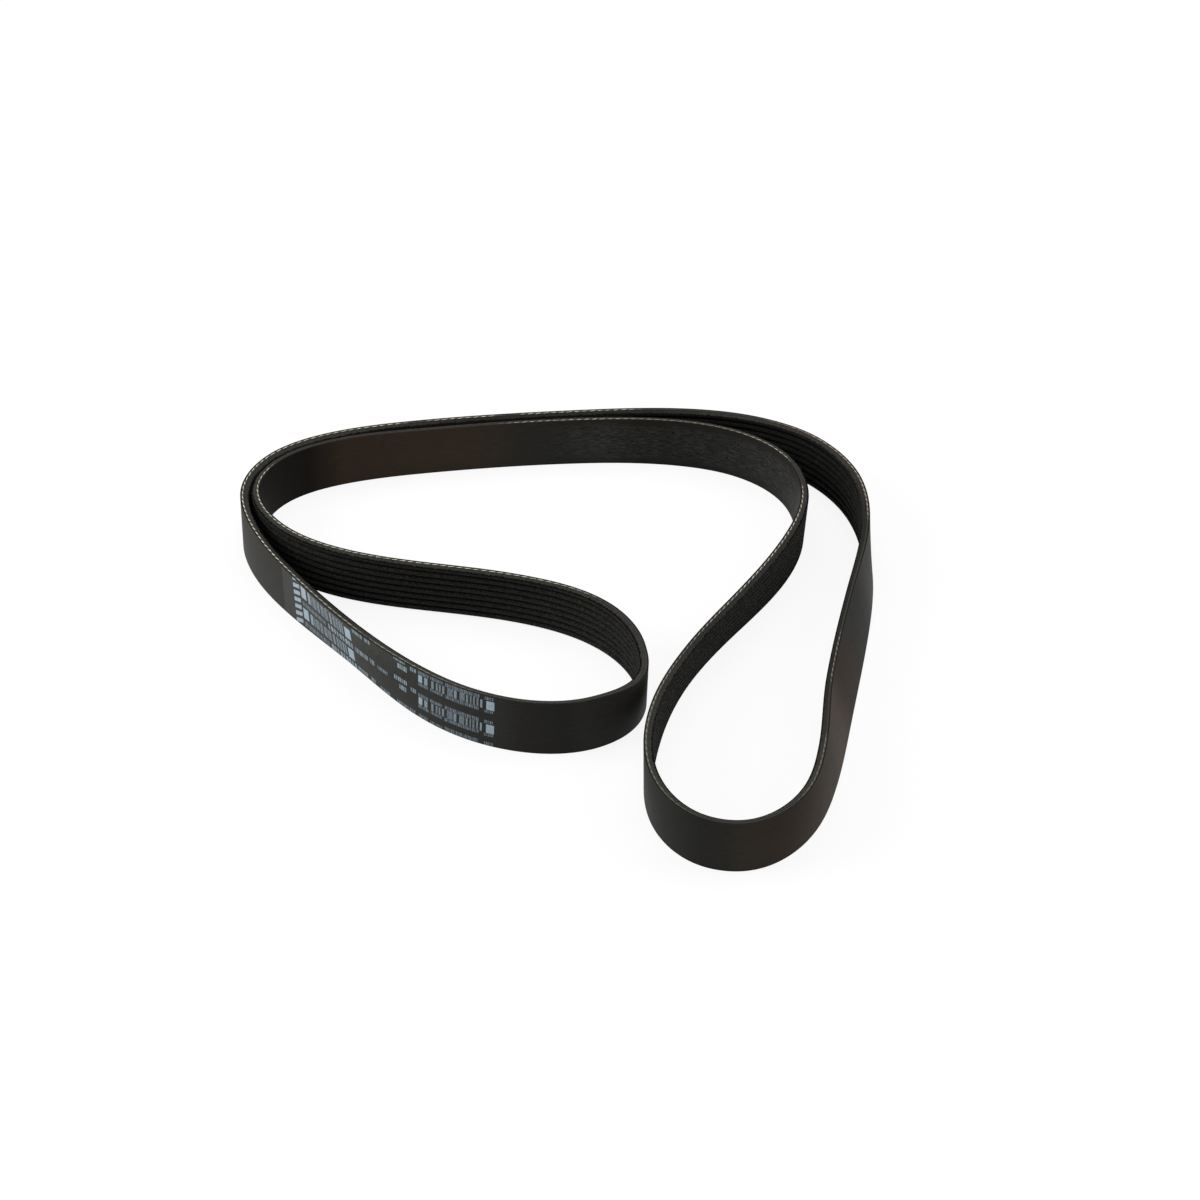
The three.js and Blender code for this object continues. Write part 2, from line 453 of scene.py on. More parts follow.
@dataclass(frozen=True)
class Pattern:
    """Cloudy noise whose features have a real size, in millimetres along and across the belt.

    Its values lie mostly between 0.3 and 0.7, so a range within that picks how much shows.
    """

    along: float
    across: float
    detail: float = 2.0
    rough: float = 0.5
    on_hoop: bool = True  # otherwise it lies in the object's own space


@dataclass(frozen=True)
class Finish:
    """What every finish has: how it takes the light, its ground, and layers of colour on that."""

    name: str
    roughness: float
    specular: float
    relief: Pair  # the bump's strength, and its height in millimetres
    ground: int
    patterns: tuple[Pattern, ...]
    reads: tuple[str, ...]  # attributes of the piece

    def material(self) -> bpy.types.Material:
        """Makes the finish as a plain shader over its layers.

        Returns:
            The material.
        """
        material = bpy.data.materials.new(self.name)
        tree = empty_tree(material)
        sources = []
        for pattern in self.patterns:
            if pattern.on_hoop:
                place = add(tree, "Attribute", (), "Vector", attribute_name="hoop")
            else:
                place = add(tree, "TexCoord", (), "Object")
            finest = min(pattern.along, pattern.across)
            drawn = (finest / pattern.along, finest / pattern.along, finest / pattern.across)
            sources.append(add(tree, "TexNoise", {
                "Vector": add(tree, "Mapping", {"Vector": place, "Scale": drawn}),
                "Scale": 1 / (finest * METRES), "Detail": pattern.detail, "Roughness": pattern.rough,
            }))
        for name in self.reads:
            sources.append(add(tree, "Attribute", (), "Fac", attribute_name=name))
        layers, varied = self.layers(tree, *sources)
        colour = linear(self.ground)
        for share, tint in layers:
            colour = add(tree, "Mix", {0: share, 6: colour, 7: linear(tint)}, 2, data_type="RGBA")
        inputs = {"Roughness": self.roughness, "Specular IOR Level": self.specular} | varied
        inputs["Normal"] = add(tree, "Bump", {
            "Strength": self.relief[0], "Distance": self.relief[1] * METRES,
            "Height": inputs.pop("Height"),
        })
        shader = add(tree, "BsdfPrincipled", {"Base Color": colour} | inputs)
        add(tree, "OutputMaterial", {"Surface": shader})
        return material

    def layers(self, tree: bpy.types.NodeTree, *sources: Socket) -> Layers:
        """Works out what lies on the ground, and what else varies.

        Args:
            tree: The node tree.
            sources: The patterns, and then the attributes that the finish reads.

        Returns:
            Each layer's share and colour, and inputs of the shader, with a height for the bump.
        """
        raise NotImplementedError(self.name)


def mesh_object(
    name: str, points: Array, faces: Array, finishes: tuple[Finish, ...] = (),
    crease: float | None = None, **values: Array,
) -> bpy.types.Object:
    """Puts points and faces into a new mesh object at the origin, smooth shaded.

    Args:
        name: The object's name.
        points: Vertices in metres, with a last axis of three.
        faces: Vertex numbers, with one row for each face.
        finishes: The finishes, in the order of their slots.
        crease: The angle in degrees above which an edge stays sharp.
        values: What the finishes read: a number or a vector at each vertex, by its name.

    Returns:
        The object.
    """
    mesh = bpy.data.meshes.new(name)
    mesh.vertices.add(points.size // 3)
    mesh.vertices.foreach_set("co", points.astype(np.float32).ravel())
    mesh.loops.add(faces.size)
    mesh.loops.foreach_set("vertex_index", faces.astype(np.int32).ravel())
    mesh.polygons.add(len(faces))
    starts = np.arange(len(faces), dtype=np.int32) * faces.shape[1]
    mesh.polygons.foreach_set("loop_start", starts)
    mesh.polygons.foreach_set("use_smooth", np.ones(len(faces), dtype=bool))
    mesh.update(calc_edges=True)
    mesh.validate()
    for key, value in values.items():
        vector = value.shape == points.shape
        kind, field = ("FLOAT_VECTOR", "vector") if vector else ("FLOAT", "value")
        rows = np.broadcast_to(value, points.shape if vector else points.shape[:-1])
        attribute = mesh.attributes.new(key, kind, "POINT")
        attribute.data.foreach_set(field, rows.astype(np.float32).ravel())
    for finish in finishes:
        mesh.materials.append(finish.material())
    if crease is not None:
        mesh.set_sharp_from_angle(angle=math.radians(crease))
    made = bpy.data.objects.new(name, mesh)
    bpy.context.scene.collection.objects.link(made)
    return made


@dataclass(frozen=True)
class MouldedBack(Finish):
    """EPDM rubber, moulded against a smooth sleeve: matt black with a faint lengthwise drag.

    Brown clouds lie on some stretches, and painted shade makes others blacker where less light
    falls on them. The inner run has a scuffed patch of short pale streaks with dark specks between them.
    """

    name: str = "moulded_epdm_back"
    roughness: float = 0.62
    specular: float = 0.12
    relief: Pair = (0.35, 0.06)
    ground: int = 0x1F1E1B
    warm: int = 0x291D10
    rubbed: int = 0x444443
    # Black of the specks, and of the painted shade on some stretches
    speck_and_shade_black: int = 0x0C0C0B
    dull_specular: float = 0.02
    uneven: Pair = (-0.06, 0.1)  # roughness that the drag takes off and puts on
    middle: float = 14.24
    stray: float = 8.0  # how far the patches shift the border of the scuffing
    clear: Pair = (16.5, 13.0)  # from the middle, where it starts and is whole, with half a stray
    patterns: tuple[Pattern, ...] = (
        Pattern(6.0, 0.4, 4.0, 0.6),  # drag of the mould
        Pattern(4.5, 0.75, 3.0, 0.65),  # scratches
        Pattern(0.5, 0.5, 3.0, 0.65),  # grain
        Pattern(45.0, 45.0, 3.0),  # brown clouds
        Pattern(10.0, 10.0),  # patches of scuffing
        Pattern(1.5, 1.5, 1.0),  # specks
    )
    reads: tuple[str, ...] = ("scuff", "browning", "painted_shade")

    def layers(self, tree: bpy.types.NodeTree, *sources: Socket) -> Layers:
        """Lays brown clouds, pale streaks, dark specks, and painted shade on some stretches, on the
        ground.
        """
        drag, scratches, grain, clouds, patches, pits, scuff, browning, painted_shade = sources
        drift = add(tree, "MapRange", (clouds, 0.4, 0.6, 0.5, 1.15))
        warmth = add(tree, "Math", (browning, drift), operation="MULTIPLY", use_clamp=True)
        hoop = add(tree, "Attribute", (), "Vector", attribute_name="hoop")
        across = add(tree, "SeparateXYZ", (hoop,), "Z")
        aside = add(tree, "Math", (across, self.middle * METRES), operation="SUBTRACT")
        aside = add(tree, "Math", (aside,), operation="ABSOLUTE")
        aside = add(tree, "Math", (patches, self.stray * METRES, aside), operation="MULTIPLY_ADD")
        within = add(tree, "MapRange", (aside, *(place * METRES for place in self.clear)))
        scuff = add(tree, "Math", (scuff, within), operation="MULTIPLY")
        faint = add(tree, "MapRange", (drag, 0.45, 0.65, 0.0, 0.16))
        thick = add(tree, "MapRange", (patches, 0.35, 0.6, 0.6, 1.0))
        streaked = add(tree, "MapRange", (scratches, 0.42, 0.64))
        rub = add(tree, "Math", (streaked, thick), operation="MULTIPLY")
        rub = add(tree, "Math", (rub, scuff, faint), operation="MULTIPLY_ADD")
        specks = add(tree, "MapRange", (pits, 0.34, 0.24, 0.0, 0.6))
        # The specks in the scuffed patch, and painted shade on the given stretches
        specks_and_painted_shade = add(tree, "Math", (specks, scuff, painted_shade), operation="MULTIPLY_ADD")
        dark = add(tree, "Clamp", (specks_and_painted_shade,))
        least, most = (self.roughness + change for change in self.uneven)
        sheen = add(tree, "MapRange", (dark, 0.0, 1.0, self.specular, self.dull_specular))
        return [(warmth, self.warm), (rub, self.rubbed), (dark, self.speck_and_shade_black)], {
            "Roughness": add(tree, "MapRange", (drag, 0.3, 0.7, least, most)),
            "Specular IOR Level": sheen,
            "Height": add(tree, "Math", (drag, grain), operation="ADD"),
        }


@dataclass(frozen=True)
class CutRubber(Finish):
    """Rubber that a blade cut and left dry: greyer than the rest, hatched across the belt.

    The thin cover outside the cord is cut cleaner, and stays nearly black. On the flank of the
    first rib the grey ends in a ragged border, which lies farther down where a band is left.
    On some stretches painted shade darkens the cut face to the same black, where less light falls.
    """

    name: str = "blade_cut_rubber"
    roughness: float = 0.74
    specular: float = 0.15
    relief: Pair = (0.5, 0.1)
    ground: int = 0x141311
    face: int = 0x292623
    dust: int = 0x3E3A34
    # Black of the bare rubber, and of the painted shade on some stretches
    bare_and_painted_shade: int = 0x0E0E0D
    cover: Pair = (0.95, 0.55)  # depths where the clean cover starts and is whole
    border: Pair = (4.4, 4.9)  # depths where the grey starts to end and ends, with half a tooth
    tooth: float = 2.4
    reach: float = 0.55  # how much farther down a band reaches
    patterns: tuple[Pattern, ...] = (
        Pattern(0.8, 4.0, 3.0, 0.7),  # a blade's marks are finer, and are drawn this coarse to show
        Pattern(0.35, 0.35, on_hoop=False),  # grain
        Pattern(0.7, 0.7),  # teeth of the border
    )
    reads: tuple[str, ...] = ("depth", "cut_painted_shade", "band")

    def layers(self, tree: bpy.types.NodeTree, *sources: Socket) -> Layers:
        """Lays the hatched face, dust, the clean or bare rubber, and painted shade on the ground."""
        hatch, grain, teeth, depth, painted_shade, band = sources
        lines = add(tree, "MapRange", (hatch, 0.38, 0.6))
        dusty = add(tree, "MapRange", (grain, 0.52, 0.75, 0.0, 0.8))
        clean = add(tree, "MapRange", (depth, *self.cover, 0.0, 0.8))
        worn_to = add(tree, "Math", (teeth, self.tooth, depth), operation="MULTIPLY_ADD")
        worn_to = add(tree, "Math", (band, -self.reach, worn_to), operation="MULTIPLY_ADD")
        dark = add(tree, "MapRange", (worn_to, *self.border))
        # On the given stretches the same black is painted shade
        for other in (clean, painted_shade):
            dark = add(tree, "Math", (dark, other), operation="MAXIMUM")
        return [(lines, self.face), (dusty, self.dust), (dark, self.bare_and_painted_shade)], {
            "Specular IOR Level": add(tree, "MapRange", (dark, 0.0, 1.0, self.specular, 0.0)),
            "Height": add(tree, "Math", (hatch, grain), operation="ADD"),
        }


@dataclass(frozen=True)
class FibreRibs(Finish):
    """Rib compound with chopped fibre, ground to shape: the deepest black, with a fine nap.

    Painted shade makes it blackest deep in the grooves, and near the upper edge on some stretches where
    the lamps light the upper ribs more.
    """

    name: str = "ground_fibre_ribs"
    roughness: float = 0.9
    specular: float = 0.04
    relief: Pair = (0.5, 0.08)
    ground: int = 0x1B1B1A
    nap: int = 0x3A3937
    # Black of the painted shade in the grooves and near the upper edge
    painted_shade_black: int = 0x050505
    # Painted shade deep in the grooves: depths, and its shares there
    groove: tuple[float, ...] = (3.5, 2.8, 0.0, 0.55)  # depths and the shares of black there
    # Painted shade near the upper edge grows over these heights
    upper: tuple[float, ...] = (0.01, 0.026, 0.0, 0.5)  # metres from the lower edge, and shares
    # The fibres are finer, and are drawn this coarse to show
    patterns: tuple[Pattern, ...] = (Pattern(1.3, 0.35, 3.0, 0.7),)
    reads: tuple[str, ...] = ("depth", "rib_painted_shade")

    def layers(self, tree: bpy.types.NodeTree, *sources: Socket) -> Layers:
        """Lays the nap, and black as painted shade, on the ground."""
        fibre, depth, painted_shade = sources
        napped = add(tree, "MapRange", (fibre, 0.46, 0.72))
        # Painted shade deep in the grooves
        sunk = add(tree, "MapRange", (depth, *self.groove))
        hoop = add(tree, "Attribute", (), "Vector", attribute_name="hoop")
        # Painted shade near the upper edge, on the given stretches
        raised = add(tree, "MapRange", (add(tree, "SeparateXYZ", (hoop,), "Z"), *self.upper))
        dark = add(tree, "Math", (raised, painted_shade, sunk), operation="MULTIPLY_ADD", use_clamp=True)
        return [(napped, self.nap), (dark, self.painted_shade_black)], {"Height": fibre}


@dataclass(frozen=True)
class TwistedPolyester(Finish):
    """Polyester cord, dipped and sliced: cream where a ply is cut clean, dark where it is coated.

    The exposure says how clean the cut is. The warmth turns the cream to brown where rubber was
    smeared over it, and below nothing to a greenish grey.
    """

    name: str = "sliced_polyester_cord"
    roughness: float = 0.85
    specular: float = 0.25
    relief: Pair = (0.5, 0.06)
    ground: int = 0xCBC9B5
    brown: int = 0xAF9E83
    grey_green: int = 0x757B69
    coated: int = 0x23201C
    browning: float = 1.6  # how fast the warmth turns the cream to brown
    patterns: tuple[Pattern, ...] = (
        Pattern(0.16, 0.16, on_hoop=False),  # filaments, drawn coarser than they are to show
        Pattern(1.2, 1.2, on_hoop=False),  # dirt
    )
    reads: tuple[str, ...] = ("exposure", "warmth")

    def layers(self, tree: bpy.types.NodeTree, *sources: Socket) -> Layers:
        """Lays brown or greenish grey on the cream, and the coat on all of them."""
        filaments, dirt, exposure, warmth = sources
        brown, green = (
            add(tree, "Math", (warmth, rate), operation="MULTIPLY", use_clamp=True)
            for rate in (self.browning, -1.0)
        )
        kept = add(tree, "MapRange", (dirt, 0.35, 0.6, 0.55, 1.0))
        clean = add(tree, "Math", (exposure, kept), operation="MULTIPLY")
        coated = add(tree, "Math", (1.0, clean), operation="SUBTRACT")
        layers = [(brown, self.brown), (green, self.grey_green), (coated, self.coated)]
        return layers, {"Height": filaments}


@dataclass(frozen=True)
class PrintFilm(Finish):
    """Thin carrier film of a transfer print, pressed on in the mould: smooth and a shade paler.

    Painted shade darkens it towards one end, standing in for the light falling off there, until it is
    nearly as black as the back.
    """

    name: str = "transfer_print_film"
    roughness: float = 0.55
    specular: float = 0.14
    relief: Pair = (0.2, 0.05)
    ground: int = 0x2B2B29
    # Black of the film's patches, and of the painted shade towards its end
    pressed_and_painted_shade: int = 0x1B1B1A
    patterns: tuple[Pattern, ...] = (Pattern(3.0, 3.0, 4.0, 0.6),)  # ripples
    reads: tuple[str, ...] = ("pressing",)

    def layers(self, tree: bpy.types.NodeTree, *sources: Socket) -> Layers:
        """Lays black on the ground, in patches, and as painted shade that grows towards the end."""
        ripples, pressing = sources
        patchy = add(tree, "MapRange", (ripples, 0.4, 0.62, -0.1, 0.2))
        # Patches of black, and painted shade that grows towards the film's end
        share = add(tree, "Math", (patchy, pressing), operation="ADD", use_clamp=True)
        return [(share, self.pressed_and_painted_shade)], {"Height": ripples}


@dataclass(frozen=True)
class TransferInk(Finish):
    """Pale blue-grey transfer ink: full in the solid fields, thin and mottled in the fine bars."""

    name: str = "pale_transfer_ink"
    roughness: float = 0.6
    specular: float = 0.2
    relief: Pair = (0.0, 0.05)  # too smooth for a bump
    ground: int = 0x2C3133
    ink: int = 0x8C9CA6
    patterns: tuple[Pattern, ...] = (Pattern(0.6, 0.6, 3.0, 0.6),)  # mottle
    reads: tuple[str, ...] = ("cover",)

    def layers(self, tree: bpy.types.NodeTree, *sources: Socket) -> Layers:
        """Lays the ink on the ground as far as it covers."""
        mottle, cover = sources
        uneven = add(tree, "MapRange", (mottle, 0.36, 0.56, -0.35, 0.0))
        laid = add(tree, "Math", (cover, uneven), operation="ADD", use_clamp=True)
        return [(laid, self.ink)], {"Height": mottle}


@dataclass(frozen=True)
class SubAssembly:
    """A part of the belt, worked out on the belt's route and section."""

    route: TracedRoute
    section: BeltSection

    @property
    def ring_places(self) -> Array:
        """Places of the rings along the belt, as a column."""
        return np.arange(RINGS)[:, None] * self.route.length / RINGS


@dataclass(frozen=True)
class BeltBody(SubAssembly):
    """The rubber itself, in one closed band, with its back, its cut edges and its ribs.

    A row of a table is the start, the end and the share of a stretch with that tint.
    """

    crease: float = 35.0
    scuff: Table = ((1090, 1290, 1),)
    browning: Table = (
        (900, 1085, 1),  # inner run, from the left shoulder
        (1440, 1500, 0.5),  # left flank of the right lobe
        (1555, 1750, 1),  # its nose and right flank
    )
    # Painted shade on the back: stretches made blacker where less light falls on them
    painted_shade: Table = (
        (885, 985, 0.8),  # inner run, at the left shoulder
        (564, 602, 0.3),  # nose of the left lobe, beyond the print
        (1060, 1270, 0.3),  # round the scuffed patch
        (1110, 1290, 0.55),  # under it
        (1488, 1568, 0.45),  # nose of the right lobe
        (1572, 1660, 0.3),  # its right corner
        (1680, 1790, 0.5),  # its right flank
    )
    # Painted shade on the cut faces: stretches made blacker where less light falls on them
    cut_painted_shade: Table = (
        (45, 235, 0.4),  # long back run
        (370, 480, 0.4),  # left flank
        (1290, 1430, 0.2),  # left side of the right lobe
        (1630, 1880, 0.5),  # right flank
    )
    # Painted shade on the upper ribs, which the lamps light more than the lower ones
    rib_painted_shade: Table = (
        (-140, 110, 1), (1766, 2016, 1),  # right shoulder, both ends of the route
    )
    band: Table = (
        (-120, 120, 1), (1786, 2026, 1),  # right shoulder, both ends of the route
        (100, 230, 0.4),  # long back run
        (230, 370, 1),  # left shoulder
        (1290, 1500, 0.7),  # left side of the right lobe
    )

    def build(self) -> bpy.types.Object:
        """Sweeps the rounded outline along the route and dresses it.

        Returns:
            The object.
        """
        outline, s = self.section.outline(), self.ring_places
        a, b = outline.T[:, None, :]
        tints = ("scuff", "browning", "painted_shade", "cut_painted_shade", "rib_painted_shade", "band")
        piece = mesh_object(
            "belt_body", self.route.surface(s, a, b), ring_faces(RINGS, len(outline)),
            (MouldedBack(), CutRubber(), FibreRibs()), self.crease,
            hoop=self.route.hoop(s, b), depth=a - self.section.back_face,
            **{tint: self.stretches(s, getattr(self, tint)) for tint in tints},
        )
        zones = np.tile(self.section.zones(outline), RINGS)
        piece.data.polygons.foreach_set("material_index", zones.astype(np.int32))
        return piece

    def stretches(self, s: Array, humps: Table) -> Array:
        """Share of a tint along the belt: the highest of some soft humps.

        A hump is 1.5 times one less the square of the distance from its middle in half
        lengths, held between 0 and 1.

        Args:
            s: Places along the belt, as a column.
            humps: Start, end and share of each stretch.

        Returns:
            The share, from 0 to 1, as a column.
        """
        start, end, share = np.array(humps).T
        middle, half = (start + end) / 2, (end - start) / 2
        risen = share * np.clip(1.5 * (1 - ((s - middle) / half) ** 2), 0.0, 1.0)
        return risen.max(axis=1, keepdims=True)


@dataclass(frozen=True)
class SlicedCord(SubAssembly):
    """The tension cord's outermost turn in one cut edge: a coated strand and its sliced plies."""

    side: CutEdge
    crease: float = 50.0
    ply_pitch: float = 4.2
    ply_length: float = 3.2
    ply_width: float = 0.46
    ply_tilt: float = 9.0
    ply_smear: float = 1.3  # how much wider a ply gets where it turns fully greenish
    ply_height: float = 0.12
    sunk: float = 0.06
    rim_points: int = 10
    shoulder: float = 0.6
    least: float = 0.12  # exposure under which a ply is covered
    strand_share: float = 0.08  # of the plies' exposure, in the coat between them
    strand_tinted: float = 0.4  # and how much more of it where the cord is brown or greenish
    warm_from: float = 0.15
    # Place along the belt, exposure of the plies, and their warmth
    wear: Table = (
        (0, 0.85, 0.4), (22, 0.6, 0.6), (32, 0.1, 0.5), (94, 0.05, 0.5), (102, 0.85, 0),
        (158, 0.95, 0), (163, 0.1, 0), (172, 0.1, 0), (177, 1, 0), (208, 0.95, 0), (213, 0.15, 0),
        (220, 0.15, 0), (226, 0.95, 0), (300, 1, 0), (400, 1, 0), (412, 0.9, -0.2),
        (440, 0.8, -0.4), (468, 0.7, -0.4), (480, 0.2, -0.4), (488, 0.7, -0.8), (520, 0.6, -0.85),
        (556, 0.15, -0.8), (700, 0.05, 0), (712, 0.85, -0.2), (740, 0.95, 0), (905, 1, 0),
        (936, 0.85, 0), (944, 0.05, 0.3), (1068, 0.05, 0.3), (1078, 0.7, 0), (1120, 0.85, 0.1),
        (1160, 0.5, 0.4), (1195, 0.6, 0.4), (1215, 0.95, 0.3), (1234, 0.95, 0.3), (1240, 0.05, 0),
        (1260, 0.05, 0), (1265, 0.8, 0.1), (1340, 0.9, 0), (1405, 0.6, 0), (1420, 0.3, 0),
        (1440, 0.6, -0.3), (1465, 0.6, -0.8), (1525, 0.5, -1), (1552, 0.05, -1), (1597, 0.05, -1),
        (1606, 0.4, -0.8), (1646, 0.45, -0.7), (1652, 0.05, 0), (1688, 0.05, 0), (1694, 0.45, 0),
        (1726, 0.45, 0), (1734, 0.05, 0), (1824, 0.05, 0), (1832, 0.75, 0.2), (1906, 0.85, 0.4),
    )

    def worn(self, s: Array) -> tuple[Array, Array]:
        """Exposure and warmth at places along the belt, straight from one entry to the next."""
        place, exposure, warmth = np.array(self.wear).T
        return np.interp(s, place, exposure), np.interp(s, place, warmth)

    def build(self) -> bpy.types.Object:
        """Makes the strand and the plies in one mesh.

        Returns:
            The object.
        """
        strand, strand_faces, strand_s = self.strand()
        plies, ply_faces, ply_s = self.plies()
        faces = np.vstack([strand_faces, ply_faces + len(strand)])
        exposure, warmth = self.worn(np.concatenate([strand_s, ply_s]))
        tinted = np.clip(abs(warmth[: len(strand)]) - self.warm_from, 0.0, 1.0)
        exposure[: len(strand)] *= self.strand_share + self.strand_tinted * tinted
        return mesh_object(
            f"sliced_cord_{self.side.name.lower()}", np.vstack([strand, plies]), faces,
            (TwistedPolyester(),), self.crease, exposure=exposure, warmth=warmth,
        )

    def strand(self) -> tuple[Array, Array, Array]:
        """Half-round strand: a half circle carried along the route.

        It is pressed back from the cut by the plies' height, so that its b lies inwards of the
        edge by the height plus the half circle's own, scaled to what is left of the radius.

        Returns:
            Points, three vertex numbers for each face, and each point's place along the belt.
        """
        radius = self.section.cord_diameter / 2
        outline = self.section.half_circle(radius, self.side)
        outline = outline[::-1] if self.side is CutEdge.LOWER else outline
        s, edge = self.ring_places, self.section.edge(self.side)
        a, b = outline.T[:, None, :]
        b = edge + self.side.value * self.ply_height + (b - edge) * (1 - self.ply_height / radius)
        points = self.route.surface(s, a, b)
        quads = ring_faces(RINGS, len(outline))
        faces = np.vstack([quads[:, [0, 1, 2]], quads[:, [0, 2, 3]]])
        return points.reshape(-1, 3), faces, np.broadcast_to(s, points.shape[:2]).ravel()

    def plies(self) -> tuple[Array, Array, Array]:
        """Sliced plies: slanted lenses in a row along the strand.

        A lens is an ellipse with a radius from 0 to 1 and an angle round it, turned by the
        tilt of the twist. Its top is level with the cut in the middle, and falls by the
        height times the radius squared to the strand's face.

        Returns:
            Points, three vertex numbers for each face, and each point's place along the belt.
        """
        count = round(self.route.length / self.ply_pitch)
        k = np.arange(count)
        centre = k * self.route.length / count
        exposure, warmth = self.worn(centre)
        shown = exposure > self.least
        k, centre, exposure, warmth = (v[shown, None] for v in (k, centre, exposure, warmth))
        smear = 1 + self.ply_smear * np.clip(-2 * warmth - 1, 0.0, 1.0)
        vary = (k * GOLDEN) % 1.0
        # A covered ply is shorter and much thinner, and each differs a little from the next
        half_length = self.ply_length / 2 * (0.8 + 0.2 * exposure) * (0.85 + 0.25 * vary)
        half_width = self.ply_width / 2 * (0.45 + 0.55 * exposure) * (1.1 - 0.2 * vary) * smear
        rim = np.arange(self.rim_points) * 2 * math.pi / self.rim_points
        radius = np.repeat([0.0, self.shoulder, 1.0, 0.0], [1, len(rim), len(rim), 1])
        turn = np.concatenate([[0.0], rim, rim, [0.0]])
        tilt = math.radians(self.ply_tilt)
        ahead = half_length * radius * np.cos(turn)
        aside = half_width * radius * np.sin(turn)
        s = centre + ahead * math.cos(tilt) - aside * math.sin(tilt)
        a = self.section.cord_centre + ahead * math.sin(tilt) + aside * math.cos(tilt)
        fall = self.ply_height * radius**2
        fall[-1] = self.ply_height + self.sunk
        b = self.section.edge(self.side) + self.side.value * fall * np.ones_like(s)
        points = self.route.surface(s, a, b).reshape(-1, 3)
        inner = 1 + np.arange(self.rim_points)
        inner_next = np.roll(inner, -1)
        outer, outer_next = inner + self.rim_points, inner_next + self.rim_points
        top, bottom = np.zeros_like(inner), np.full_like(inner, 1 + 2 * self.rim_points)
        lens = np.vstack([
            np.column_stack([top, inner, inner_next]),
            np.column_stack([inner, outer, outer_next]),
            np.column_stack([inner, outer_next, inner_next]),
            np.column_stack([bottom, outer_next, outer]),
        ])
        lens = lens[:, ::-1] if self.side is CutEdge.UPPER else lens
        starts = np.arange(len(centre))[:, None, None] * len(radius)
        return points, (lens + starts).reshape(-1, 3), np.broadcast_to(centre, s.shape).ravel()


@dataclass(frozen=True)
class Bars:
    """Plain bars and fields between some heights; a bar is a start, an end and a cover."""

    heights: tuple[Pair, ...]
    bars: Table

    def spans(self) -> Array:
        """Its bars, as rows of start, end, low, high, slope and cover."""
        return np.array([
            (start, end, *height, 0.0, cover)
            for height in self.heights for start, end, cover in self.bars
        ])


@dataclass(frozen=True)
class Ticks:
    """Rows of small plain blocks of uneven length, from golden steps."""

    heights: tuple[Pair, ...]
    start: float
    end: float
    pitch: float = 1.35
    cover: float = 0.75

    def spans(self) -> Array:
        """Puts its blocks between its heights.

        Returns:
            Rows of start, end, low, high, slope and cover.
        """
        k = np.arange(max(1, round((self.end - self.start) / self.pitch)))
        cell = self.start + k * self.pitch
        rows = []
        for low, high in self.heights:
            share = (k * GOLDEN + low) % 1.0
            end = cell + (0.5 + 0.3 * share) * self.pitch
            rows.append(np.broadcast_arrays(cell, end, low, high, 0.0, self.cover * (0.75 + 0.25 * share)))
        return np.hstack(rows).T


